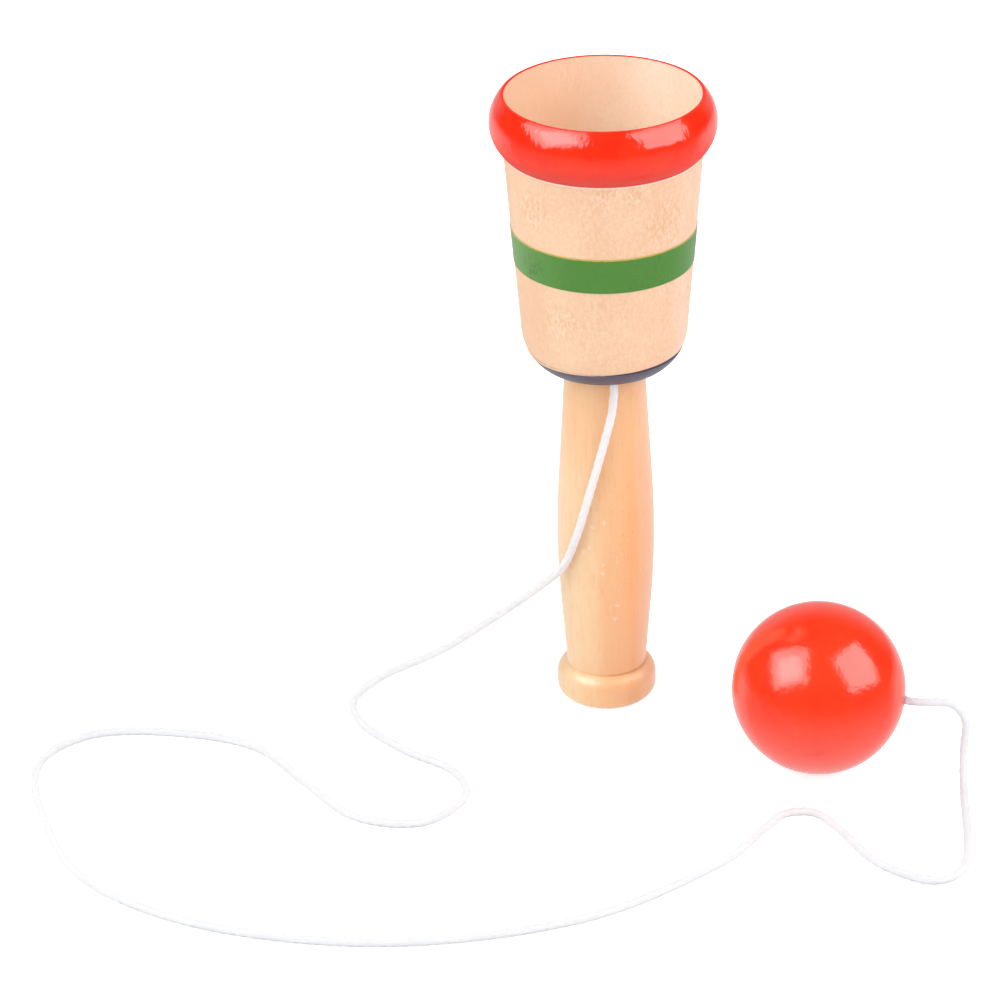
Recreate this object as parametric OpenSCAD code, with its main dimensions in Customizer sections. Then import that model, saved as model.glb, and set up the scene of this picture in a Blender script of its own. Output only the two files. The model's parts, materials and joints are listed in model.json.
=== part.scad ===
// Cup and ball toy: a turned wooden cup on a turned handle, with a ball on a cord.
// Millimetres. The handle stands on its foot at the origin, +Z up, and the ball lies beside it.

/* [Handle] */
// Height of the handle from its foot to the underside of the cup
handle_h = 80.7; // [70:0.1:110]
// Diameter at the thickest part of the grip
belly_d = 20.8; // [19:0.1:24]
// Height of the thickest part of the grip
belly_z = 39.5; // [36:0.5:45]
// Radius of the long curve over the thickest part
belly_round = 200; // [150:5:220]
// Angle at which the grip narrows towards the cup
neck_taper = 3.3; // [2.5:0.1:4]
// Angle at which the grip narrows towards the foot
grip_taper = 4.4; // [3.5:0.1:5]

/* [Foot] */
// Diameter of the foot
foot_d = 21.4; // [20:0.1:26]
// Height at which the foot's upper rounding starts
foot_crest = 4.7; // [3.5:0.1:6]
// Radius of the foot's upper rounding
foot_upper_round = 3.4; // [2.5:0.1:4]
// Radius of the foot's lower rounding
foot_lower_round = 2.5; // [1:0.1:3]

/* [Tenon] */
// Diameter of the tenon on top of the handle
tenon_d = 11; // [9:0.1:12]
// Length of the tenon
tenon_len = 15; // [10:0.5:18]
// Chamfer at the end of the tenon
tenon_chamfer = 1; // [0.5:0.1:2]
// Gap for glue round the tenon
glue_gap = 0.1; // [0.05:0.05:0.3]
// Room left past the end of the tenon
socket_room = 0.5; // [0.2:0.1:2]

/* [Cup] */
// Height of the cup from its underside to its rim
cup_h = 59.3; // [55:0.1:75]
// Diameter of the cup's side where the base rounding starts
cup_base_d = 35; // [34:0.1:38]
// Diameter of the cup's side under the rim bead
cup_top_d = 41.2; // [39:0.1:42]
// Radius of the rounding at the base of the cup
base_round = 10.45; // [9:0.05:12]
// Height of the base rounding
base_rise = 8.1; // [7:0.1:8.5]
// Diameter of the rim bead
bead_d = 46.6; // [46:0.1:49]
// Height of the rim bead
bead_h = 12; // [11:0.1:13]
// Radius of the rim bead's curve
bead_round = 8; // [7.5:0.1:9]
// Depth of the bead's widest line below the rim
bead_crest = 5.8; // [5.5:0.1:6]

/* [Bowl] */
// Diameter of the mouth
mouth_d = 40.4; // [38:0.1:41]
// Depth of the bowl
bowl_depth = 33; // [28:0.5:35]
// Angle of the bowl's wall
bowl_taper = 9.5; // [6:0.5:11]
// Radius of the corner between the bowl's wall and its floor
bowl_round = 9; // [8:0.1:10]

/* [Paint] */
// Thickness of the paint
paint_t = 0.08; // [0.05:0.01:0.2]
// Clearance between the paint and the wood
paint_gap = 0.04; // [0.02:0.01:0.1]
// Bare ring of wood round the mouth
lip_bare = 0.1; // [0.1:0.1:0.4]
// Height of the painted band's lower edge above the cup's underside
band_low = 23.1; // [15:0.1:26]
// Width of the painted band
band_w = 7.7; // [4:0.1:10]
// Height of the base paint's edge above the cup's underside
base_paint_h = 3.3; // [2:0.1:6]
// Bare ring between the base paint and the handle
neck_bare = 0.2; // [0.1:0.1:1]

/* [Ball] */
// Diameter of the ball
ball_d = 36.5; // [33:0.1:38]
// Where the ball lies, to the right of the handle
ball_x = 43.5; // [42:0.5:60]
// Where the ball lies, in front of the handle
ball_front = 32.7; // [30:0.1:40]
// Angle by which the bore points down where the cord leaves the ball
bore_tilt = 4; // [0:1:20]
// Angle by which the bore points to the front there
bore_turn = 12; // [0:1:20]
// Diameter of the pocket that holds the ball's knot
pocket_d = 7.4; // [7.2:0.1:9]
// Depth of that pocket
pocket_depth = 7.2; // [7:0.1:10]

/* [Cord] */
// Diameter of the cord
cord_d = 1.8; // [1.5:0.1:2]
// Diameter of the cord where it is pulled tight in a knot
knot_strand_d = 1.4; // [1.1:0.1:1.4]
// Room all round the cord in its holes
cord_room = 0.4; // [0.3:0.1:0.8]
// Distance of the cord's hole from the middle of the cup
hole_reach = 11.1; // [10.6:0.1:11.4]
// Direction of the cord's hole, 0 to the right and -90 to the front
hole_turn = -82; // [-120:1:-60]
// Clearance between the free cord and the cord in each hole
cord_gap = 0.1; // [0.05:0.05:0.3]
// Straight length of cord below the cup
cord_lead = 4; // [3:0.5:5]
// Straight length of cord beside the ball
ball_lead = 3; // [2:0.5:4]
// Height of the bowl's knot above the mouth of its hole
bowl_knot_lift = 1.4; // [1.3:0.1:3]
// Height of the ball's knot above the floor of its pocket
ball_knot_lift = 1.5; // [1.4:0.1:2]

/* [Hidden] */
ROUND_FN = 180;
BELLY_STEPS = 24;
CORD_SIDES = 8;
CUT = 1;

// The handle's outline: a place on the long curve by its angle, and where the two tapers go from there
belly_x = belly_d / 2 - belly_round;
function belly_point(angle) = [belly_x + belly_round * cos(angle), belly_z + belly_round * sin(angle)];
upper_point = belly_point(neck_taper);
lower_point = belly_point(-grip_taper);
neck_r = upper_point.x - (handle_h - upper_point.y) * tan(neck_taper);
crest_r = lower_point.x - (lower_point.y - foot_crest) * tan(grip_taper);
foot_r = foot_d / 2;
tenon_r = tenon_d / 2;
socket_r = tenon_r + glue_gap;
socket_h = tenon_len + socket_room;

// The cup's outline
base_z = handle_h;
rim_z = base_z + cup_h;
mouth_r = mouth_d / 2;
side_low_z = base_z + base_rise;
side_top_z = rim_z - bead_h;
side_low_r = cup_base_d / 2;
side_top_r = cup_top_d / 2;
base_mid_r = side_low_r - base_round;
base_flat_r = base_mid_r + sqrt(base_round ^ 2 - base_rise ^ 2);
bead_mid_r = bead_d / 2 - bead_round;
bead_mid_z = rim_z - bead_crest;
band_low_z = base_z + band_low;
band_top_z = band_low_z + band_w;
paint_out = paint_gap + paint_t;

// The bowl's outline: the wall meets the corner at the tangent point
bowl_z = rim_z - bowl_depth;
bowl_mid_z = bowl_z + bowl_round;
bowl_floor_r = mouth_r - (bowl_depth - bowl_round) * tan(bowl_taper) - bowl_round / cos(bowl_taper);
tangent_r = bowl_floor_r + bowl_round * cos(bowl_taper);
tangent_z = bowl_mid_z - bowl_round * sin(bowl_taper);

// The ball and its bore
ball_r = ball_d / 2;
ball_at = [ball_x, -ball_front, ball_r];
bore_way = [cos(bore_tilt) * cos(bore_turn), -cos(bore_tilt) * sin(bore_turn), -sin(bore_tilt)];
ball_exit = ball_at + ball_r * bore_way;
pocket_floor = ball_r - pocket_depth;
hole_d = cord_d + 2 * cord_room;

// The cord's hole in the cup, and where it comes out in the bowl
hole_x = hole_reach * cos(hole_turn);
hole_y = hole_reach * sin(hole_turn);
hole_mouth_z = bowl_mid_z - sqrt(bowl_round ^ 2 - (hole_reach - bowl_floor_r) ^ 2);
cup_exit = [hole_x, hole_y, base_z];

// The cord's lie on the table: right, back, and the rise of its underside
LAID = [
    [0.7, -11.2, 70], [-3.9, -10.9, 52], [-6.7, -9.9, 41.6], [-9.4, -7.4, 33.6], [-14.5, -5.2, 27.6],
    [-24, -3.2, 19.3], [-36, -1, 10], [-49, 0, 3.1], [-55.2, -5.5, 0.4], [-53, -15, 0], [-44, -26, 0],
    [-33.5, -35, 0], [-31.2, -45.5, 0], [-40, -55, 0], [-54, -52.3, 0], [-65, -38, 0], [-76, -23.5, 0],
    [-93, -17, 0], [-111, -17, 0], [-121.5, -28, 0], [-119.5, -48, 0], [-108.5, -74, 0], [-83, -92, 0],
    [-46, -99.3, 0], [-8, -92.3, 0], [20, -73.5, 0], [31, -59.5, 0], [35.5, -54.3, 0], [41.3, -54.3, 0],
    [45.5, -60, 0], [53, -74, 0], [63.5, -80.8, 0], [70.4, -75, 0], [73, -48.5, 0], [73.4, -42.5, 1.6],
    [73.7, -39.6, 6.4], [73.9, -38.4, 12], [70.9, -37.6, 15.6]];
cord_route = concat(
    [cup_exit, cup_exit - [0, 0, cord_lead]],
    [for (p = LAID) p + [0, 0, cord_d / 2]],
    [ball_exit + ball_lead * bore_way, ball_exit]);
CORD_STEPS = 2;
// A direction along which the cord never runs
CORD_SIDE = [0.3, 0.55, 0.78];

// An overhand knot, in diameters of its strand, on a shank that comes up along +Z
KNOT = [
    [0, 0, -2.6], [0, 0, -1.7], [-0.35, 0, -0.5], [-0.6, 0, 0.5], [-0.5, 0, 1.5], [0, 0, 2.2],
    [0.9, 0, 2.3], [1.65, 0.1, 1.5], [1.45, 0.85, 0.2], [0.15, 1.3, -0.4], [-1.15, 1.1, -0.3],
    [-1.75, 0.1, 0.1], [-1.25, -0.95, 0.5], [-0.25, -1.15, 0.8], [0.5, -0.3, 1.05], [0.55, 0.75, 1.4],
    [0.35, 1.7, 1.75]];
KNOT_STEPS = 2;
KNOT_SIDE = [0.75, 0.62, 0.23];
SHANK_RINGS = 2;
bowl_knot_z = hole_mouth_z + bowl_knot_lift;
bowl_shank = bowl_knot_z - base_z - cord_gap;
ball_knot_at = pocket_floor + ball_knot_lift;
ball_shank = ball_knot_at + ball_r - cord_gap;

function unit(v) = v / norm(v);

// A smooth curve through points: the knot step of each span, the slope at each point, and its places
function span(p, i) = sqrt(norm(p[i + 1] - p[i]));
function slope(p, i) =
    i == 0 ? (p[1] - p[0]) / span(p, 0) :
    i == len(p) - 1 ? (p[i] - p[i - 1]) / span(p, i - 1) :
    (p[i + 1] - p[i - 1]) / (span(p, i - 1) + span(p, i));
function place(p, i, t) =
    (2 * t ^ 3 - 3 * t ^ 2 + 1) * p[i] + (3 * t ^ 2 - 2 * t ^ 3) * p[i + 1]
    + span(p, i) * ((t ^ 3 - 2 * t ^ 2 + t) * slope(p, i) + (t ^ 3 - t ^ 2) * slope(p, i + 1));
function along(p, steps) = concat(
    [for (i = [0 : len(p) - 2]) for (k = [0 : steps - 1]) place(p, i, k / steps)],
    [p[len(p) - 1]]);
function on_table(p) = [p.x, p.y, max(p.z, cord_d / 2)];

// The direction of the curve at one of its places
function heading(path, i) =
    i == 0 ? unit(path[1] - path[0]) :
    i == len(path) - 1 ? unit(path[i] - path[i - 1]) :
    unit(unit(path[i + 1] - path[i]) + unit(path[i] - path[i - 1]));
function ring(at, way, r, side) =
    let (u = unit(cross(way, side)), v = cross(u, way), turn = 360 / CORD_SIDES)
    [for (k = [0 : CORD_SIDES - 1]) at + r * (cos(k * turn) * u + sin(k * turn) * v)];

// A tube of given radii along a path, with flat ends
module tube(path, radii, side) {
    n = len(path);
    rings = [for (i = [0 : n - 1]) ring(path[i], heading(path, i), radii[i], side)];
    low_end = [for (k = [1 : CORD_SIDES - 2]) [0, k, k + 1]];
    walls = [for (i = [0 : n - 2]) for (k = [0 : CORD_SIDES - 1])
        let (a = i * CORD_SIDES + k, b = i * CORD_SIDES + (k + 1) % CORD_SIDES)
        each [[a, a + CORD_SIDES, b], [b, a + CORD_SIDES, b + CORD_SIDES]]];
    top = (n - 1) * CORD_SIDES;
    top_end = [for (k = [1 : CORD_SIDES - 2]) [top, top + k + 1, top + k]];
    polyhedron([for (r = rings) each r], concat(low_end, walls, top_end));
}

// An overhand knot at the end of a straight shank of the cord's own thickness
module knot_on_shank(shank) {
    path = concat([[0, 0, -shank]], along(knot_strand_d * KNOT, KNOT_STEPS));
    tube(path, [for (i = [0 : len(path) - 1]) (i < SHANK_RINGS ? cord_d : knot_strand_d) / 2], KNOT_SIDE);
}

// The radius of the cup's straight side at a height
function side_r(z) =
    side_low_r + (side_top_r - side_low_r) * (z - side_low_z) / (side_top_z - side_low_z);

// A quarter of a disc in the corner that ways point to, such as [1, -1] for right and down
module quarter(at, r, ways) {
    intersection() {
        translate(at) circle(r, $fn = ROUND_FN);
        translate(at + [min(ways.x, 0) * 2 * r, min(ways.y, 0) * 2 * r]) square(2 * r);
    }
}

module foot_outline() {
    quarter([foot_r - foot_lower_round, foot_lower_round], foot_lower_round, [1, -1]);
    square([foot_r - foot_lower_round, foot_lower_round]);
    polygon([[0, foot_lower_round], [foot_r, foot_lower_round], [foot_r, foot_crest], [0, foot_crest]]);
    quarter([foot_r - foot_upper_round, foot_crest], foot_upper_round, [1, 1]);
    translate([0, foot_crest]) square([foot_r - foot_upper_round, foot_upper_round]);
}

module grip_outline() {
    step = (neck_taper + grip_taper) / BELLY_STEPS;
    belly = [for (i = [0 : BELLY_STEPS]) belly_point(i * step - grip_taper)];
    polygon(concat([[0, foot_crest], [crest_r, foot_crest]], belly, [[neck_r, handle_h], [0, handle_h]]));
}

module tenon_outline() {
    translate([0, handle_h]) polygon([
        [0, 0], [tenon_r, 0], [tenon_r, tenon_len - tenon_chamfer],
        [tenon_r - tenon_chamfer, tenon_len], [0, tenon_len]]);
}

module cup_outline() {
    translate([0, base_z]) square([base_flat_r, base_rise]);
    intersection() {
        translate([base_mid_r, side_low_z]) circle(base_round, $fn = ROUND_FN);
        translate([base_mid_r, base_z]) square([cup_base_d, base_rise]);
    }
    polygon([[0, side_low_z], [side_low_r, side_low_z], [side_top_r, side_top_z], [0, side_top_z]]);
    intersection() {
        translate([bead_mid_r, bead_mid_z]) circle(bead_round, $fn = ROUND_FN);
        translate([bead_mid_r, side_top_z]) square([bead_d, bead_h]);
    }
    translate([0, side_top_z]) square([mouth_r, bead_h]);
}

module bowl_outline() {
    wall_top_r = mouth_r + CUT * tan(bowl_taper);
    polygon([[0, tangent_z], [tangent_r, tangent_z], [wall_top_r, rim_z + CUT], [0, rim_z + CUT]]);
    translate([0, bowl_z]) square([bowl_floor_r, bowl_round]);
    intersection() {
        translate([bowl_floor_r, bowl_mid_z]) circle(bowl_round, $fn = ROUND_FN);
        translate([0, bowl_z]) square([mouth_d, bowl_round]);
    }
}

module cord_hole() {
    translate([hole_x, hole_y, base_z - CUT])
        cylinder(h = hole_mouth_z + bowl_round - base_z, d = hole_d, $fn = ROUND_FN);
}

module handle() {
    color("burlywood") rotate_extrude($fn = ROUND_FN) {
        foot_outline();
        grip_outline();
        tenon_outline();
    }
}

module cup() {
    color("bisque") difference() {
        rotate_extrude($fn = ROUND_FN) difference() {
            cup_outline();
            bowl_outline();
            translate([0, base_z - CUT]) square([socket_r, socket_h + CUT]);
        }
        cord_hole();
    }
}

// The rim grown outwards and up, from the foot of the bead round to the bare ring at the mouth
module rim_skin(grow, past) {
    intersection() {
        translate([bead_mid_r, bead_mid_z]) circle(bead_round + grow, $fn = ROUND_FN);
        translate([mouth_r + lip_bare - past, side_top_z - past])
            square([bead_d, bead_h + grow + past]);
    }
}

// The red coat on the rim bead and the rim's top
module rim_paint() {
    color("red") rotate_extrude($fn = ROUND_FN) difference() {
        rim_skin(paint_out, 0);
        rim_skin(paint_gap, CUT);
    }
}

module band_paint() {
    low_r = side_r(band_low_z);
    top_r = side_r(band_top_z);
    color("forestgreen") rotate_extrude($fn = ROUND_FN) polygon([
        [low_r + paint_gap, band_low_z], [low_r + paint_out, band_low_z],
        [top_r + paint_out, band_top_z], [top_r + paint_gap, band_top_z]]);
}

// The base of the cup grown outwards, from the bare ring at the neck up to the paint's edge
module base_skin(grow, past) {
    intersection() {
        translate([base_mid_r, side_low_z]) circle(base_round + grow, $fn = ROUND_FN);
        translate([neck_r + neck_bare - past, base_z - grow])
            square([side_low_r, base_paint_h + grow + past]);
    }
}

// The dark coat under the cup and round its base
module base_paint() {
    color("slategray") difference() {
        rotate_extrude($fn = ROUND_FN) difference() {
            base_skin(paint_out, 0);
            base_skin(paint_gap, CUT);
        }
        cord_hole();
    }
}

module ball() {
    color("red") translate(ball_at) rotate([0, 90 + bore_tilt, -bore_turn]) difference() {
        sphere(d = ball_d, $fn = ROUND_FN);
        cylinder(h = ball_d + 2 * CUT, d = hole_d, center = true, $fn = ROUND_FN);
        translate([0, 0, -ball_r - CUT]) cylinder(h = pocket_depth + CUT, d = pocket_d, $fn = ROUND_FN);
    }
}

// The free cord, from the cup's underside round the table to the ball
module cord() {
    path = [for (p = along(cord_route, CORD_STEPS)) on_table(p)];
    color("whitesmoke") tube(path, [for (p = path) cord_d / 2], CORD_SIDE);
}

module cup_knot() {
    color("whitesmoke") translate([hole_x, hole_y, bowl_knot_z]) rotate(hole_turn + 90)
        knot_on_shank(bowl_shank);
}

module ball_knot() {
    color("whitesmoke") translate(ball_at) rotate([0, bore_tilt - 90, -bore_turn])
        translate([0, 0, ball_knot_at]) knot_on_shank(ball_shank);
}

handle();
cup();
rim_paint();
band_paint();
base_paint();
ball();
cord();
cup_knot();
ball_knot();
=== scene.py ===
"""Looks of the cup and ball toy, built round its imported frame.

Lengths are metres in the frame's own axes: +Z up, -Y to the front, the handle's foot at the origin.
Finishes work in millimetres.
"""
import json
import math

import bpy
import numpy as np
from mathutils import Matrix, Vector


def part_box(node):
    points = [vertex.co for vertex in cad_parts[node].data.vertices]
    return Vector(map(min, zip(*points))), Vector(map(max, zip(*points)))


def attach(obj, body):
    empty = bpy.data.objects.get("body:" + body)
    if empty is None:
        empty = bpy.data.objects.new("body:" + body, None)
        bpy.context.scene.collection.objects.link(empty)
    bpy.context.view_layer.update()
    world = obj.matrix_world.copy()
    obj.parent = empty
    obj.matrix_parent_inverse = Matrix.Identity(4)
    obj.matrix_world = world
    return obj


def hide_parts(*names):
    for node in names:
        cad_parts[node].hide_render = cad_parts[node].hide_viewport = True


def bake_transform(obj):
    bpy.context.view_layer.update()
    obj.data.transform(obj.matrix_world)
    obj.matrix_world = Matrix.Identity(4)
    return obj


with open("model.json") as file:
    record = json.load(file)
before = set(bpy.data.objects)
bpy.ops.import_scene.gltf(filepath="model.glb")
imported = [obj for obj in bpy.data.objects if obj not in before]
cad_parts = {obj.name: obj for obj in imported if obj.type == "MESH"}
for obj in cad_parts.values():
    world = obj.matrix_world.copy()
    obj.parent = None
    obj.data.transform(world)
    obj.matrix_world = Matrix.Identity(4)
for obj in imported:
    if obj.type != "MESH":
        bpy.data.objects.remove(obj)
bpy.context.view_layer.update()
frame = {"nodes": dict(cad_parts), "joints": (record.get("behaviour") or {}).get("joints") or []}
MM = 0.001


def mm(metres):
    return metres / MM


# Places that the frame gives
def joint(name):
    return next(j for j in frame["joints"] if j["name"] == name)


BALL_AT = np.array(joint("ball_spin")["pos_m"])
BORE_WAY = np.array(joint("ball_spin")["axis"])
BALL_R = BALL_AT[2]
CUP_BASE_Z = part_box("cup")[0].z
RIM_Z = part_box("cup")[1].z
BAND_TOP_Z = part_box("band_paint")[1].z
RIM_PAINT_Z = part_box("rim_paint")[0].z

# The cord, its holes and its knots
CORD_R = 0.9 * MM
KNOT_STRAND_D = 1.4 * MM
KNOT_TAPER = 1.0 * MM
HOLE_REACH = 11.1 * MM
HOLE_TURN = math.radians(-82)
CORD_LEAD = 4 * MM
BALL_LEAD = 3 * MM
POCKET_R = 3.7 * MM
POCKET_FLOOR = BALL_R - 7.2 * MM
BALL_KNOT_LIFT = 1.5 * MM
BOWL_KNOT_Z = 109.36 * MM
CUP_EXIT = np.array((HOLE_REACH * math.cos(HOLE_TURN), HOLE_REACH * math.sin(HOLE_TURN), CUP_BASE_Z))
BALL_EXIT = BALL_AT + BALL_R * BORE_WAY

# The cord's lie on the table, in millimetres: right, back, and the rise of its underside
LAID = [
    [0.7, -11.2, 70], [-3.9, -10.9, 52], [-6.7, -9.9, 41.6], [-9.4, -7.4, 33.6], [-14.5, -5.2, 27.6],
    [-24, -3.2, 19.3], [-36, -1, 10], [-49, 0, 3.1], [-55.2, -5.5, 0.4], [-53, -15, 0], [-44, -26, 0],
    [-33.5, -35, 0], [-31.2, -45.5, 0], [-40, -55, 0], [-54, -52.3, 0], [-65, -38, 0], [-76, -23.5, 0],
    [-93, -17, 0], [-111, -17, 0], [-121.5, -28, 0], [-119.5, -48, 0], [-108.5, -74, 0], [-83, -92, 0],
    [-46, -99.3, 0], [-8, -92.3, 0], [20, -73.5, 0], [31, -59.5, 0], [35.5, -54.3, 0], [41.3, -54.3, 0],
    [45.5, -60, 0], [53, -74, 0], [63.5, -80.8, 0], [70.4, -75, 0], [73, -48.5, 0], [73.4, -42.5, 1.6],
    [73.7, -39.6, 6.4], [73.9, -38.4, 12], [70.9, -37.6, 15.6]]
# The laid point from which the cord rises to the ball
RISE_POINT = 33
# An overhand knot, in diameters of its strand, on a shank that comes up along +Z
KNOT = [
    [0, 0, -2.6], [0, 0, -1.7], [-0.35, 0, -0.5], [-0.6, 0, 0.5], [-0.5, 0, 1.5], [0, 0, 2.2],
    [0.9, 0, 2.3], [1.65, 0.1, 1.5], [1.45, 0.85, 0.2], [0.15, 1.3, -0.4], [-1.15, 1.1, -0.3],
    [-1.75, 0.1, 0.1], [-1.25, -0.95, 0.5], [-0.25, -1.15, 0.8], [0.5, -0.3, 1.05], [0.55, 0.75, 1.4],
    [0.35, 1.7, 1.75]]
# Places to a span of a route, and the step between rings
CORD_SPAN = 40
CORD_STEP = 0.4 * MM
KNOT_SPAN = 24
KNOT_STEP = 0.25 * MM
STRANDS = 3
RING_SIDES = 24
LAY_PITCH = 6.5 * MM
# Least radius in the grooves, and the share of the strands' shape in the cord's own
GROOVE = 0.74
STRAND_SHARE = 0.32

# The photograph's camera: focal length in pixels of its 1000-pixel frame
FOCAL_PX = 4200
IMAGE_PX = 1000
CAMERA_AT = Vector((-0.022559, -0.793403, 0.465914))
CAMERA_PITCH = 0.4858
CAMERA_ROLL = math.radians(-1.144)

# The studio's lamps: each one's direction and distance from the ball, size, roll and power, and whether it
# lights surfaces or shows as a glint in the gloss
LAMPS = {
    "left_softbox": ((-0.65, -0.32, 0.69), 0.90, 0.82, 43, 4.0, "light"),
    "left_glint": ((-0.65, -0.32, 0.69), 0.88, 0.80, 43, 5.0, "glint"),
    "left_core": ((-0.64, -0.36, 0.68), 0.84, 0.44, 43, 1.15, "glint"),
    "right_softbox": ((0.73, -0.29, 0.61), 0.90, 0.82, 76, 4.3, "light"),
    "right_glint": ((0.73, -0.29, 0.61), 0.88, 0.80, 76, 5.6, "glint")}
SKY_LIGHT = 0.60
# The room as reflections show it: dark, but for the sweep behind, the table below and the table behind.
# Y and Z are ranges of a ray's direction over which each comes or goes
ROOM_DARK = 0.03
SWEEP = 0.6
SWEEP_Y = (0.5, 1.0)
SWEEP_Z = (0.2, 1.1)
TABLE = 1.05
TABLE_Z = (-1.0, 0.0)
BEHIND = 0.9
BEHIND_Y = (0.0, 0.5)
BEHIND_Z = (-0.25, 0.02)
FLOOR_SIZE = 6.0
FLOOR_COLOR = (0.93, 0.93, 0.935, 1)
FLOOR_ROUGH = 0.9
# White added to the floor for the camera, by the toy and far from it
FLOOR_LIFT = (0.72, 1.0)
FLOOR_LIFT_REACH = (0.12, 0.35)
WHITE = (1, 1, 1, 1)

# Colours, as linear light
CUP_PALE = (0.93, 0.63, 0.415, 1)
CUP_WARM = (0.88, 0.54, 0.335, 1)
CUP_PORE = (0.84, 0.41, 0.17, 1)
CUP_RIDGE_HIGHLIGHT = (0.98, 0.77, 0.58, 1)
CUP_PINK_SHEEN = (0.93, 0.64, 0.48, 1)
CUP_EDGE_GLEAM = (0.98, 0.84, 0.78, 1)
BOWL_PALE_LIT = (0.99, 0.86, 0.70, 1)
BOWL_WARM_SHADED = (0.90, 0.585, 0.405, 1)
HANDLE_PALE_LIT = (0.98, 0.68, 0.40, 1)
HANDLE_WARM = (0.97, 0.535, 0.26, 1)
HANDLE_LINE = (0.95, 0.45, 0.19, 1)
HANDLE_FOOT_TONE_AND_NECK_SHADE = (0.99, 0.56, 0.28, 1)
HANDLE_PINK_SHEEN = (0.96, 0.52, 0.31, 1)
GROOVE_SHADE = (0.50, 0.22, 0.07, 1)
LACQUER_DROP = (0.99, 0.76, 0.55, 1)
BALL_RED = (0.98, 0.048, 0.010, 1)
BALL_DEEP = (0.97, 0.039, 0.007, 1)
RIM_RED = (0.97, 0.034, 0.006, 1)
RIM_DEEP = (0.95, 0.024, 0.004, 1)
RIM_SHADE = (0.76, 0.088, 0.070, 1)
GREEN = (0.077, 0.252, 0.031, 1)
GREEN_DARK = (0.04, 0.14, 0.018, 1)
GREEN_LIT = (0.16, 0.36, 0.09, 1)
GREEN_THIN = (0.58, 0.46, 0.07, 1)
NAVY = (0.065, 0.05, 0.085, 1)
NAVY_PALE = (0.10, 0.08, 0.13, 1)
POCKET_SHADE = (0.10, 0.03, 0.015, 1)
COTTON = (0.775, 0.785, 0.815, 1)
COTTON_SHADE = (0.75, 0.76, 0.795, 1)
COTTON_SEAM_PAINTED_LIGHT = (0.805, 0.84, 0.87, 1)

# Places on the finishes, in millimetres: a pair is a range over which one look goes over into another
# The bowl: its mouth and slope, its edge past the mouth, where it goes from a darker left, painted shade,
# to a paler right, painted light, and its warm top, painted shade
MOUTH_R = 20.2
BOWL_SLOPE = math.tan(math.radians(9.5))
BOWL_EDGE = (0.3, 0.5)
BOWL_LIT_X = (-16, 14)
BOWL_TOP_SHADE_X = (3, 14)
BOWL_TOP_SHADE_H = 14
# Where the cup turns pink on the right, a painted sheen, the middles and reaches of its most pitted places,
# and a shift of its patches
CUP_SHEEN_X = (4, 18)
PORE_SPOTS = [
    ((-15, -13, 120), 7), ((0, -20, 126), 5), ((6, -19, 126), 5), ((12.5, -15.5, 118), 8),
    ((-9.5, -15.5, 96), 6), ((-14.5, -12, 107), 5)]
PATCH_SHIFT = (31, 7, 5)
# The pale line under the rim paint, a painted reflection: its drop below the paint, and its half width
RIM_GLEAM_DROP = 0.15
RIM_GLEAM_W = (0.05, 0.3)
# The base paint's edge above the cup's underside, its lean to the right and back, and its softness
BASE_EDGE_H = 3.25
BASE_EDGE_LEAN = (0.052, -0.007, 0)
BASE_EDGE_SOFT = 0.08
# The rim above its paint's low edge: the shade's height and the shine's, and the dull edge by the bowl
RIM_SHADE_H = (0, 6)
RIM_SHINE_H = (2, 7.5)
RIM_EDGE_W = 1.5
# The band: where it is paler on the left, a painted highlight, and the thin paint below its top edge
BAND_LIT_X = (-20, -5)
BAND_THIN = (0.38, 0.12)
# Across the handle: from pale to warm, the pale left a painted highlight, a darker band, pink on the right
# as painted sheen, and where specks come in
GRIP_LIT_X = (-7.5, 1.0)
GRIP_BAND_X = ((3.0, 5.6), (6.2, 7.4))
GRIP_SHEEN_X = (6.2, 8.4)
GRIP_SPECK_X = (-6, 0)
# The handle's foot, warm on the right, its groove, darker on the right as painted shade, and the neck,
# deepened under the cup as painted shade
FOOT_WARM_X = (-8, -1)
FOOT_WARM_Z = (5, 9)
GROOVE_Z = 8.0
GROOVE_W = (0.05, 0.4)
GROOVE_SHADE_X = (-6, 6)
NECK_SHADE_Z = (48, 70)
# Drops of lacquer on the grip, and the place of its finer flecks
DROPS = [
    ((-3.2, -9.8, 45.3), 0.7), ((-0.5, -10.3, 46.2), 0.8), ((-3.9, -9.7, 40.4), 0.7),
    ((-5.1, -9, 38.9), 0.6), ((-0.9, -10.3, 36.1), 0.6), ((-1, -10.3, 34.1), 0.7),
    ((2.2, -9.7, 26.2), 0.6), ((1.6, -9.7, 22.5), 0.7)]
FLECK_SPOT = ((2.5, -9.5, 40), 22)
# Where the ball's bore and pocket are darkened as painted shade: how far below its skin, and how far past
# the pocket's wall
BALL_SHADE_DEPTH = (0.9, 0.2)
POCKET_SHADE_PAST = (0.2, 0.4)
# How far a seam in the cord shows
SEAM_REACH = 30

# How finely edges wander, and how far, and how far the grip's lines do
BASE_WANDER = (0.35, 0.12)
BAND_WANDER = (0.8, 0.15)
BOWL_WANDER = (0.1, 6)
GRIP_WANDER = 7

# Noise: how many of its waves go to a millimetre, its detail and its roughness
CUP_BROAD = (0.10, 2)
CUP_FINE = (1.8, 3, 0.65)
CUP_PATCHES = (0.13, 2)
CUP_FLECKS = (1.8, 2, 0.6)
NAVY_TONES = (0.4, 2)
GRIP_LINES = (0.22, 2)
GRIP_FINE = (1.5, 3, 0.6)
RIM_TONES = (0.2, 2)
RIM_STREAKS = (0.9, 1.5, 0.5)
BALL_TONES = (0.12, 2)
BALL_RIPPLE = (0.7, 3, 0.6)
BAND_RIPPLE = (1.4, 3, 0.6)
BASE_RIPPLE = (0.9, 3)
COTTON_FUZZ = (5.0, 2)
# The part of the noise's range over which a painted tone turns
TONE_TURN = (0.35, 0.65)

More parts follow.
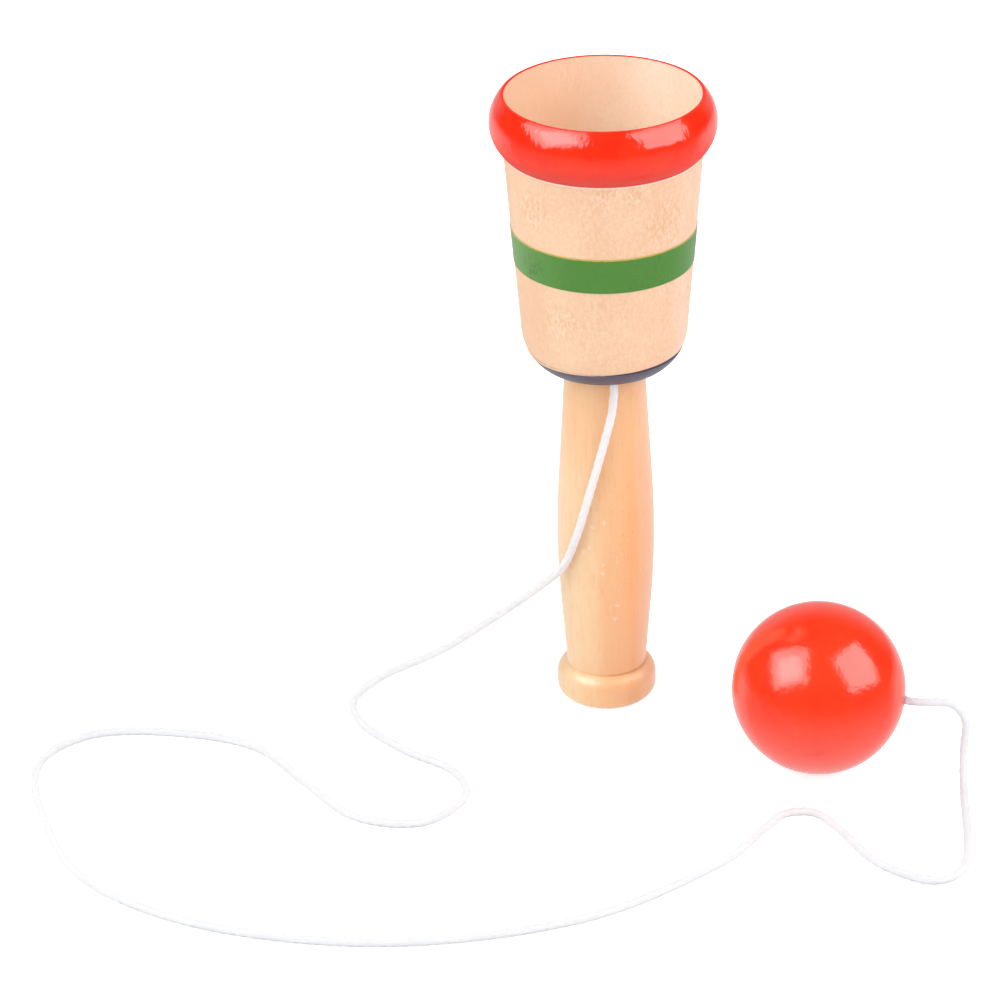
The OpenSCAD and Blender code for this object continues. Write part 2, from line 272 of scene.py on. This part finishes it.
# How strong the pores are in each finish, how rough it and its coat are, and how deep its bumps are
CUP_PORES = 0.46
BOWL_PORES = 0.3
BAND_PORES = 0.42
CUP_ROUGH = 0.45
CUP_BUMP = 0.04 * MM
HANDLE_ROUGH = 0.42
HANDLE_BUMP = 0.07 * MM
LACQUER = 0.65
LACQUER_ROUGH = 0.28
LACQUER_IOR = 1.6
BAND_ROUGH = 0.38
BAND_BUMP = 0.06 * MM
BASE_ROUGH = 0.36
BASE_BUMP = 0.05 * MM
PAINT_ROUGH = 0.6
GLOSS_IOR = 1.8
RIM_GLOSS = 0.12
RIM_BUMP = 0.075 * MM
BALL_GLOSS = 0.145
BALL_BUMP = 0.07 * MM
COTTON_ROUGH = 0.85
COTTON_BUMP = 0.05 * MM
# How far light goes in the cotton
COTTON_DEPTH = 3.0 * MM

# Marks in the wood: how finely noise bends them and how far, their widths in cells, and the faintest
MARK_BEND = (0.8, 1.2)
DROP_BEND = (1.2, 1.4)
DASH_SIZES = (0.18, 0.40)
DASH_FAINT = 0.4
# The share of a spot's reach that is all its middle
SPOT_MIDDLE = 0.3


class Graph:
    """A material's nodes, built by short calls that return sockets. Positions are in millimetres."""

    def __init__(self, name):
        self.material = bpy.data.materials.new(name)
        self.material.use_nodes = True
        self.tree = self.material.node_tree
        self.shader = self.tree.nodes["Principled BSDF"]
        place = self.tree.nodes.new("ShaderNodeTexCoord").outputs["Object"]
        self.place = self.stretch(place, (mm(1),) * 3)

    def put(self, socket, value):
        if isinstance(value, bpy.types.NodeSocket):
            self.tree.links.new(value, socket)
        else:
            socket.default_value = value

    def node(self, kind, inputs, **settings):
        made = self.tree.nodes.new(kind)
        for key, value in settings.items():
            setattr(made, key, value)
        for key, value in inputs.items():
            self.put(made.inputs[key], value)
        return made

    def vector_math(self, operation, *inputs):
        return self.node("ShaderNodeVectorMath", dict(enumerate(inputs)), operation=operation).outputs

    def stretch(self, vector, scale):
        return self.vector_math("MULTIPLY", vector, scale)[0]

    def upright(self, share):
        """Places with their height squeezed to a share, which draws marks out upright."""
        return self.stretch(self.place, (1, 1, share))

    def shift(self, vector, offset):
        return self.vector_math("ADD", vector, offset)[0]

    def dot(self, vector, direction):
        return self.vector_math("DOT_PRODUCT", vector, direction)[1]

    def length(self, vector):
        return self.vector_math("LENGTH", vector)[1]

    def axes(self, vector):
        return self.node("ShaderNodeSeparateXYZ", {0: vector}).outputs

    def noise(self, vector, scale, detail=2.0, roughness=0.5):
        inputs = {"Vector": vector, "Scale": scale, "Detail": detail, "Roughness": roughness}
        return self.node("ShaderNodeTexNoise", inputs).outputs["Fac"]

    def math(self, operation, a, b=0.0):
        return self.node("ShaderNodeMath", {0: a, 1: b}, operation=operation).outputs[0]

    def plus(self, a, b):
        return self.math("ADD", a, b)

    def minus(self, a, b):
        return self.math("SUBTRACT", a, b)

    def times(self, a, b):
        return self.math("MULTIPLY", a, b)

    def most(self, a, b):
        return self.math("MAXIMUM", a, b)

    def gap(self, a, b):
        return self.math("ABSOLUTE", self.minus(a, b))

    def across(self, x, y):
        """The distance from the Z axis."""
        return self.math("SQRT", self.plus(self.times(x, x), self.times(y, y)))

    def ease(self, value, low, high, to_low=0.0, to_high=1.0):
        """A smooth step from to_low to to_high as value goes from low to high."""
        inputs = {"Value": value, "From Min": low, "From Max": high, "To Min": to_low, "To Max": to_high}
        return self.node("ShaderNodeMapRange", inputs, interpolation_type="SMOOTHSTEP").outputs[0]

    def mix(self, factor, a, b):
        return self.node("ShaderNodeMix", {0: factor, 6: a, 7: b}, data_type="RGBA").outputs[2]

    def bump(self, height, distance):
        """A normal from a height of 0 to 1 that stands for a distance in metres."""
        return self.node("ShaderNodeBump", {"Height": height, "Distance": distance}).outputs["Normal"]

    def finish(self, **inputs):
        """Sets the shader's inputs, named with _ for each space, and returns the material."""
        for key, value in inputs.items():
            name = key.replace("_", " ").title().replace("Ior", "IOR")
            self.put(self.shader.inputs[name], value)
        return self.material


def wobble(g, scale, height):
    """A brush's unsteadiness: a wander of a given height both ways."""
    return g.times(g.minus(g.noise(g.place, scale, 3), 0.5), 2 * height)


def bent_place(g, scale, reach):
    """Places pushed about by noise, up to half of reach each way."""
    push = g.node("ShaderNodeTexNoise", {"Vector": g.place, "Scale": scale, "Detail": 1.0}).outputs["Color"]
    centred = g.shift(push, (-0.5,) * 3)
    return g.vector_math("MULTIPLY_ADD", centred, (reach,) * 3, g.place)[0]


def near(g, place, spots):
    """How near a place is to the nearest spot: 1 in its middle and 0 at its reach."""
    nearest = 0.0
    for middle, reach in spots:
        off = g.length(g.shift(place, tuple(-v for v in middle)))
        nearest = g.most(nearest, g.ease(off, SPOT_MIDDLE * reach, reach, 1, 0))
    return nearest


def dashes(g, scale, slim, density):
    """Upright marks where density is high, scale of them to a millimetre, slim times as tall as wide."""
    place = g.stretch(bent_place(g, *MARK_BEND), (1, 1, 1 / slim))
    cell = g.node("ShaderNodeTexVoronoi", {"Vector": place, "Scale": scale}).outputs
    size, chance, strength = g.axes(cell["Color"])
    inside = g.ease(g.math("DIVIDE", cell["Distance"], g.ease(size, 0, 1, *DASH_SIZES)), 0.4, 1.0, 1, 0)
    kept = g.ease(g.minus(density, chance), 0.0, 0.05)
    return g.times(g.times(inside, kept), g.ease(strength, 0, 1, DASH_FAINT, 1))


def cup_pores(g):
    """The cup's pores, fine upright flecks that are thick in some places, and the pale ridges by them, a
    painted highlight.
    """
    broad = g.noise(g.shift(g.upright(0.6), PATCH_SHIFT), *CUP_PATCHES)
    patches = g.most(g.ease(broad, 0.48, 0.66, 0.15, 0.45), near(g, g.place, PORE_SPOTS))
    flecks = g.noise(g.stretch(bent_place(g, *MARK_BEND), (1, 1, 0.4)), *CUP_FLECKS)
    pores = g.times(g.ease(flecks, 0.51, 0.61), patches)
    ridge_highlights = g.times(g.ease(flecks, 0.38, 0.47, 1, 0), patches)
    return pores, ridge_highlights


def cup_grain(g, pale, warm, strength):
    """The cup's colour and height, with pores of a given strength."""
    broad = g.noise(g.upright(0.4), *CUP_BROAD)
    fine = g.noise(g.upright(0.7), *CUP_FINE)
    tone = g.plus(g.times(broad, 0.45), g.times(fine, 0.55))
    pores, ridge_highlights = cup_pores(g)
    color = g.mix(g.ease(tone, 0.38, 0.62), pale, warm)
    # Pale ridges by the pores: painted highlight
    color = g.mix(g.times(ridge_highlights, strength), color, CUP_RIDGE_HIGHLIGHT)
    color = g.mix(g.times(pores, strength), color, CUP_PORE)
    return color, g.minus(g.times(fine, 0.4), pores)


def under_base_edge(g):
    """1 where the cup's base is painted, 0 above the paint's edge."""
    height = g.minus(g.axes(g.place)[2], g.dot(g.place, BASE_EDGE_LEAN))
    edge = mm(CUP_BASE_Z) + BASE_EDGE_H
    height = g.plus(height, wobble(g, *BASE_WANDER))
    return g.ease(height, edge - BASE_EDGE_SOFT, edge + BASE_EDGE_SOFT, 1, 0)


def navy_color(g):
    return g.mix(g.noise(g.place, *NAVY_TONES), NAVY, NAVY_PALE)


def cup_wood():
    g = Graph("cup_wood_finish")
    x, y, z = g.axes(g.place)
    # Pinker towards the right: painted sheen
    pale = g.mix(g.ease(x, *CUP_SHEEN_X), CUP_PALE, CUP_PINK_SHEEN)
    color, height = cup_grain(g, pale, CUP_WARM, CUP_PORES)
    # A pale line just under the rim paint: painted reflection
    rim_gleam = g.ease(g.gap(z, mm(RIM_PAINT_Z) - RIM_GLEAM_DROP), *RIM_GLEAM_W, 0.6, 0)
    color = g.mix(rim_gleam, color, CUP_EDGE_GLEAM)
    wall = g.minus(g.across(x, y), g.times(g.minus(z, mm(RIM_Z)), BOWL_SLOPE))
    inside = g.ease(wall, *(MOUTH_R + past for past in BOWL_EDGE), 1, 0)
    # The bowl's wall is darker to the left, paler to the right and warmer at its top: painted shade and
    # light
    tone = g.mix(g.ease(g.plus(x, wobble(g, *BOWL_WANDER)), *BOWL_LIT_X), BOWL_WARM_SHADED, BOWL_PALE_LIT)
    top = g.times(g.ease(z, mm(RIM_Z) - BOWL_TOP_SHADE_H, mm(RIM_Z)), g.ease(x, *BOWL_TOP_SHADE_X, 0.35, 0))
    tone = g.mix(top, tone, BOWL_WARM_SHADED)
    bowl = cup_grain(g, tone, g.mix(0.16, tone, CUP_PORE), BOWL_PORES)[0]
    color = g.mix(inside, color, bowl)
    color = g.mix(under_base_edge(g), color, navy_color(g))
    return g.finish(base_color=color, roughness=CUP_ROUGH, normal=g.bump(height, CUP_BUMP))


def handle_wood():
    g = Graph("handle_wood_finish")
    x, _, z = g.axes(g.place)
    lines = g.minus(g.noise(g.upright(0.03), *GRIP_LINES), 0.5)
    way = g.plus(x, g.times(lines, GRIP_WANDER))
    # Paler to the left: painted highlight
    color = g.mix(g.ease(way, *GRIP_LIT_X), HANDLE_PALE_LIT, HANDLE_WARM)
    foot = g.times(g.ease(z, *FOOT_WARM_Z, 0.7, 0), g.ease(way, *FOOT_WARM_X))
    # Deeper towards the cup: painted shade under it; the foot's warmer right is its own tone
    color = g.mix(g.most(g.ease(z, *NECK_SHADE_Z, 0, 0.8), foot), color, HANDLE_FOOT_TONE_AND_NECK_SHADE)
    band = g.times(g.ease(way, *GRIP_BAND_X[0]), g.ease(way, *GRIP_BAND_X[1], 1, 0))
    color = g.mix(g.times(band, 0.4), color, HANDLE_LINE)
    # Pink at the right edge: painted sheen
    color = g.mix(g.ease(way, *GRIP_SHEEN_X, 0, 0.7), color, HANDLE_PINK_SHEEN)
    fine = g.noise(g.upright(0.12), *GRIP_FINE)
    color = g.mix(g.ease(fine, 0.45, 0.75, 0, 0.35), color, HANDLE_LINE)
    specks = dashes(g, 1.1, 2.5, g.ease(way, *GRIP_SPECK_X, 0.1, 0.45))
    color = g.mix(g.times(specks, 0.35), color, HANDLE_LINE)
    # The groove darkened, more on the right: painted shade
    groove_shade = g.ease(g.gap(z, GROOVE_Z), *GROOVE_W, 1, 0)
    color = g.mix(g.times(groove_shade, g.ease(x, *GROOVE_SHADE_X, 0.05, 0.5)), color, GROOVE_SHADE)
    flecks = dashes(g, 1.4, 1.8, g.times(near(g, g.place, [FLECK_SPOT]), 0.8))
    drops = g.most(near(g, bent_place(g, *DROP_BEND), DROPS), g.times(flecks, 0.7))
    color = g.mix(g.times(drops, 0.7), color, LACQUER_DROP)
    height = g.plus(g.times(fine, 0.2), g.minus(drops, specks))
    return g.finish(base_color=color, roughness=HANDLE_ROUGH, normal=g.bump(height, HANDLE_BUMP),
                    coat_weight=LACQUER, coat_roughness=LACQUER_ROUGH, coat_ior=LACQUER_IOR,
                    coat_normal=g.bump(height, HANDLE_BUMP))


def gloss(g, color, height, depth, blur, shine=1.0):
    """Gloss paint whose height, over a depth in metres, breaks up what it reflects.

    Blur is the roughness of its coat, and shine the coat's weight.
    """
    return g.finish(base_color=color, roughness=PAINT_ROUGH, specular_ior_level=0.0, coat_weight=shine,
                    coat_roughness=blur, coat_ior=GLOSS_IOR, coat_normal=g.bump(height, depth))


def rim_red():
    g = Graph("rim_red_finish")
    x, y, z = g.axes(g.place)
    up = g.minus(z, mm(RIM_PAINT_Z))
    color = g.mix(g.ease(g.noise(g.place, *RIM_TONES), *TONE_TURN), RIM_RED, RIM_DEEP)
    # Low on the rim: painted shade, its green and blue lifted as a painted reflection of the table
    color = g.mix(g.ease(up, *RIM_SHADE_H, 1, 0), color, RIM_SHADE)
    inner = g.ease(g.across(x, y), MOUTH_R, MOUTH_R + RIM_EDGE_W, 0.2, 1)
    streaks = g.noise(g.upright(0.5), *RIM_STREAKS)
    shine = g.times(g.ease(up, *RIM_SHINE_H, 0.12, 1), inner)
    return gloss(g, color, streaks, RIM_BUMP, RIM_GLOSS, shine)


def ball_red():
    g = Graph("ball_red_finish")
    color = g.mix(g.ease(g.noise(g.place, *BALL_TONES), *TONE_TURN), BALL_RED, BALL_DEEP)
    pits = dashes(g, 0.9, 1.0, 0.1)
    bumps = g.minus(g.noise(g.place, *BALL_RIPPLE), g.times(pits, 0.5))
    centre = g.shift(g.place, tuple(-mm(BALL_AT)))
    along = g.dot(centre, tuple(BORE_WAY))
    out = g.length(centre)
    wide = g.math("SQRT", g.minus(g.times(out, out), g.times(along, along)))
    # Dark inside the bore and pocket: painted shade
    inside = g.ease(out, *(mm(BALL_R) - depth for depth in BALL_SHADE_DEPTH), 1, 0)
    pocket_shade = g.times(inside, g.ease(wide, *(mm(POCKET_R) + past for past in POCKET_SHADE_PAST), 1, 0))
    return gloss(g, g.mix(pocket_shade, color, POCKET_SHADE), bumps, BALL_BUMP, BALL_GLOSS)


def band_green():
    g = Graph("band_green_finish")
    x, _, z = g.axes(g.place)
    pores = cup_pores(g)[0]
    # Paler to the left: painted highlight
    color = g.mix(g.ease(x, *BAND_LIT_X, 0.62, 0), GREEN, GREEN_LIT)
    color = g.mix(g.times(pores, BAND_PORES), color, GREEN_DARK)
    height = g.plus(z, wobble(g, *BAND_WANDER))
    top = g.ease(height, *(mm(BAND_TOP_Z) - below for below in BAND_THIN))
    color = g.mix(top, color, GREEN_THIN)
    ripple = g.minus(g.noise(g.upright(0.4), *BAND_RIPPLE), pores)
    return g.finish(base_color=color, roughness=BAND_ROUGH, normal=g.bump(ripple, BAND_BUMP))


def base_navy():
    g = Graph("base_navy_finish")
    wood = cup_grain(g, CUP_PALE, CUP_WARM, CUP_PORES)[0]
    color = g.mix(under_base_edge(g), wood, navy_color(g))
    ripple = g.noise(g.place, *BASE_RIPPLE)
    return g.finish(base_color=color, roughness=BASE_ROUGH, normal=g.bump(ripple, BASE_BUMP))


def cotton(seams):
    """Cotton, which light passes through, but for close to the seams between pieces of the cord, where
    painted light makes it paler and bluer.
    """
    g = Graph("white_cord_finish")
    through = g.minus(1, near(g, g.place, [(tuple(mm(s)), SEAM_REACH) for s in seams]))
    fuzz = g.noise(g.place, *COTTON_FUZZ)
    # Near the seams: painted light, paler for the light that passes through elsewhere, bluer against the
    # ball's red bounce light
    color = g.mix(through, COTTON_SEAM_PAINTED_LIGHT, g.mix(fuzz, COTTON, COTTON_SHADE))
    return g.finish(base_color=color, roughness=COTTON_ROUGH, normal=g.bump(fuzz, COTTON_BUMP),
                    subsurface_weight=through, subsurface_radius=(1, 1, 1), subsurface_scale=COTTON_DEPTH)


def smooth(points, steps):
    """Places on a smooth curve through points, steps of them to a span.

    The curve takes a time of the root of each span's length to cross it.
    """
    p = np.array(points, float)
    pace = np.sqrt(np.linalg.norm(np.diff(p, axis=0), axis=1))[:, None]
    inner = (p[2:] - p[:-2]) / (pace[:-1] + pace[1:])
    slope = np.vstack([(p[1] - p[0]) / pace[0], inner, (p[-1] - p[-2]) / pace[-1]])
    t = (np.arange(steps) / steps)[:, None]
    spans = [
        (2 * t**3 - 3 * t**2 + 1) * p[i] + (3 * t**2 - 2 * t**3) * p[i + 1]
        + pace[i] * ((t**3 - 2 * t**2 + t) * slope[i] + (t**3 - t**2) * slope[i + 1])
        for i in range(len(p) - 1)]
    return np.vstack(spans + [p[-1:]])


def steps_along(path):
    return np.linalg.norm(np.diff(path, axis=0), axis=1)


def run_along(path):
    """How far along a path each of its places is."""
    return np.r_[0, np.cumsum(steps_along(path))]


def even(path, step):
    """The same path with its places about a step apart."""
    run = run_along(path)
    at = np.linspace(0, run[-1], max(2, round(run[-1] / step)))
    return np.stack([np.interp(at, run, path[:, k]) for k in range(3)], axis=1)


def frames(path):
    """Unit side vectors at each place of a path, carried along without twist."""
    way = np.gradient(path, axis=0)
    way /= np.linalg.norm(way, axis=1)[:, None]
    # The first side vector may point anywhere across the path
    side = np.cross(way[0], (0.3, 0.55, 0.78))
    sides = []
    for w in way:
        side = side - w * np.dot(side, w)
        side = side / np.linalg.norm(side)
        sides.append(side)
    sides = np.array(sides)
    return sides, np.cross(way, sides)


def strand_shape(angles):
    """Radius of three strands laid together, in radii of the cord, at angles round it."""
    strand = 1 / (1 + 2 / math.sqrt(3))
    reach = 1 - strand
    third = 2 * math.pi / STRANDS
    off = (angles + third / 2) % third - third / 2
    round_part = np.sqrt(np.maximum(strand**2 - (reach * np.sin(off))**2, 0))
    shape = np.maximum(reach * np.cos(off) + round_part, GROOVE)
    return 1 - STRAND_SHARE * (1 - shape)


def rope_rings(path, radius):
    """Rings of a laid cord along a path."""
    a, b = frames(path)
    turn = np.linspace(0, 2 * math.pi, RING_SIDES, endpoint=False)
    twist = 2 * math.pi * run_along(path)[:, None] / LAY_PITCH
    shape = strand_shape(turn[None] - twist) * np.reshape(radius, (-1, 1))
    return path[:, None] + shape[..., None] * (
        np.cos(turn)[None, :, None] * a[:, None] + np.sin(turn)[None, :, None] * b[:, None])


def tube(name, rings):
    """A closed tube over rings of points, smooth along its side and flat at its ends."""
    n, sides = rings.shape[:2]
    ends = [rings[0].mean(0), rings[-1].mean(0)]
    verts = [tuple(v) for v in rings.reshape(-1, 3)] + [tuple(e) for e in ends]
    faces = []
    for i in range(n - 1):
        for k in range(sides):
            a, b = i * sides + k, i * sides + (k + 1) % sides
            faces.append((a, b, b + sides, a + sides))
    for k in range(sides):
        faces.append((n * sides, (k + 1) % sides, k))
        faces.append((n * sides + 1, (n - 1) * sides + k, (n - 1) * sides + (k + 1) % sides))
    mesh = bpy.data.meshes.new(name)
    mesh.from_pydata(verts, [], faces)
    mesh.polygons.foreach_set("use_smooth", [i < (n - 1) * sides for i in range(len(faces))])
    mesh.update()
    return add(name, mesh)


def add(name, data):
    """A new object in the scene."""
    made = bpy.data.objects.new(name, data)
    bpy.context.scene.collection.objects.link(made)
    return made


def make_camera():
    data = bpy.data.cameras.new("camera")
    data.lens = data.sensor_width * FOCAL_PX / IMAGE_PX
    camera = add("camera", data)
    forward = Vector((0, math.cos(CAMERA_PITCH), -math.sin(CAMERA_PITCH)))
    side = Vector((1, 0, 0))
    up = side.cross(forward)
    right = side * math.cos(CAMERA_ROLL) + up * math.sin(CAMERA_ROLL)
    top = up * math.cos(CAMERA_ROLL) - side * math.sin(CAMERA_ROLL)
    turn = Matrix((right, top, -forward)).transposed().to_4x4()
    camera.matrix_world = Matrix.Translation(CAMERA_AT) @ turn
    bpy.context.scene.camera = camera


def make_lamp(name, way, away, size, roll, watts, task):
    data = bpy.data.lights.new(name, "AREA")
    data.shape = "SQUARE"
    data.size = size
    data.energy = watts
    lamp = add(name, data)
    direction = Vector(way).normalized()
    turn = direction.to_track_quat("Z", "Y").to_matrix() @ Matrix.Rotation(math.radians(roll), 3, "Z")
    lamp.location = Vector(BALL_AT) + direction * away
    lamp.rotation_euler = turn.to_euler()
    lamp.visible_glossy = task == "glint"
    lamp.visible_diffuse = task == "light"


def make_world():
    world = bpy.data.worlds.new("studio")
    bpy.context.scene.world = world
    world.use_nodes = True
    nodes, links = world.node_tree.nodes, world.node_tree.links
    rays = nodes.new("ShaderNodeLightPath").outputs
    axes = nodes.new("ShaderNodeSeparateXYZ")
    links.new(nodes.new("ShaderNodeTexCoord").outputs["Generated"], axes.inputs[0])

    def put(socket, value):
        if isinstance(value, float):
            socket.default_value = value
        else:
            links.new(value, socket)

    def ramp(value, low, high, to_low, to_high, kind="SMOOTHSTEP"):
        """A ramp from to_low to to_high as value goes from low to high."""
        made = nodes.new("ShaderNodeMapRange")
        made.interpolation_type = kind
        for socket, source in zip(made.inputs, (value, low, high, to_low, to_high)):
            put(socket, source)
        return made.outputs[0]

    def choose(ray, otherwise, value):
        """A value for one kind of ray, and another value for the rest."""
        made = nodes.new("ShaderNodeMix")
        for socket, source in zip((made.inputs[0], *made.inputs[2:4]), (rays[ray], otherwise, value)):
            put(socket, source)
        return made.outputs[0]

    def most(a, b):
        made = nodes.new("ShaderNodeMath")
        made.operation = "MAXIMUM"
        put(made.inputs[0], a)
        put(made.inputs[1], b)
        return made.outputs[0]

    y, z = axes.outputs["Y"], axes.outputs["Z"]
    sweep = ramp(y, *SWEEP_Y, ROOM_DARK, ramp(z, *SWEEP_Z, SWEEP, ROOM_DARK))
    table = ramp(z, *TABLE_Z, TABLE, 0.0, "LINEAR")
    behind = ramp(z, *BEHIND_Z, ramp(y, *BEHIND_Y, 0.0, BEHIND), 0.0)
    shiny = choose("Is Glossy Ray", SKY_LIGHT, most(sweep, most(table, behind)))
    links.new(choose("Is Camera Ray", shiny, 1.0), nodes["Background"].inputs["Strength"])
    nodes["Background"].inputs["Color"].default_value = WHITE


def make_floor():
    mesh = bpy.data.meshes.new("floor")
    h = FLOOR_SIZE / 2
    mesh.from_pydata([(-h, -h, 0), (h, -h, 0), (h, h, 0), (-h, h, 0)], [], [(0, 1, 2, 3)])
    floor = add("floor", mesh)
    g = Graph("floor_finish")
    rays = g.node("ShaderNodeLightPath", {}).outputs
    lift = g.ease(g.length(g.place), *(mm(r) for r in FLOOR_LIFT_REACH), *FLOOR_LIFT)
    floor.data.materials.append(g.finish(
        base_color=FLOOR_COLOR, roughness=FLOOR_ROUGH, specular_ior_level=0.0, emission_color=WHITE,
        emission_strength=g.times(rays["Is Camera Ray"], lift)))
    # What reflections show of the table comes from the world
    floor.visible_glossy = False


def dress(node, material):
    """Gives a CAD node a finish."""
    mesh = frame["nodes"][node].data
    mesh.materials.clear()
    mesh.materials.append(material)


def make_cord(material):
    """The free cord in two pieces: what lies on the table, and what rises to the ball."""
    laid = np.array(LAID) * MM + (0, 0, CORD_R)
    points = np.vstack([
        CUP_EXIT, CUP_EXIT - (0, 0, CORD_LEAD), laid, BALL_EXIT + BALL_LEAD * BORE_WAY, BALL_EXIT])
    path = smooth(points, CORD_SPAN)
    path[:, 2] = np.maximum(path[:, 2], CORD_R)
    path = even(path, CORD_STEP)
    rings = rope_rings(path, CORD_R)
    cut = int(np.argmin(np.linalg.norm(path - laid[RISE_POINT], axis=1)))
    laid_cord = tube("laid_cord", rings[:cut + 1])
    rise_cord = tube("rise_cord", rings[cut:])
    for piece in (laid_cord, rise_cord):
        piece.data.materials.append(material)
        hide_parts("cord")
    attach(laid_cord, "toy")
    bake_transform(rise_cord)


def make_knot(name, node, body, place, shank, material):
    """An overhand knot on its shank, which comes up along the placed +Z."""
    knot = np.array(KNOT) * KNOT_STRAND_D
    path = even(smooth(np.vstack([[0, 0, -shank], knot]), KNOT_SPAN), KNOT_STEP)
    thin = np.clip((path[:, 2] - knot[1, 2]) / KNOT_TAPER, 0, 1)
    thin = np.maximum.accumulate(thin)
    made = tube(name, rope_rings(path, CORD_R + (KNOT_STRAND_D / 2 - CORD_R) * thin))
    made.data.transform(place)
    made.data.materials.append(material)
    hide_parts(node)
    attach(made, body)


make_camera()
make_world()
make_floor()
for lamp_name, lamp_is in LAMPS.items():
    make_lamp(lamp_name, *lamp_is)

white = cotton([np.array(LAID[RISE_POINT]) * MM, BALL_EXIT])
make_cord(white)
hole_at = Vector((CUP_EXIT[0], CUP_EXIT[1], BOWL_KNOT_Z))
make_knot("bowl_knot", "cup_knot", "toy",
          Matrix.Translation(hole_at) @ Matrix.Rotation(HOLE_TURN + math.pi / 2, 4, "Z"),
          BOWL_KNOT_Z - CUP_BASE_Z, white)
bore_tilt = math.asin(-BORE_WAY[2])
bore_turn = math.atan2(-BORE_WAY[1], BORE_WAY[0])
knot_reach = POCKET_FLOOR + BALL_KNOT_LIFT
make_knot("pocket_knot", "ball_knot", "cord_end",
          Matrix.Translation(Vector(BALL_AT)) @ Matrix.Rotation(-bore_turn, 4, "Z")
          @ Matrix.Rotation(bore_tilt - math.pi / 2, 4, "Y") @ Matrix.Translation((0, 0, knot_reach)),
          knot_reach + BALL_R, white)

dress("handle", handle_wood())
dress("cup", cup_wood())
dress("rim_paint", rim_red())
dress("band_paint", band_green())
dress("base_paint", base_navy())
dress("ball", ball_red())

bpy.context.scene.view_settings.view_transform = "Standard"
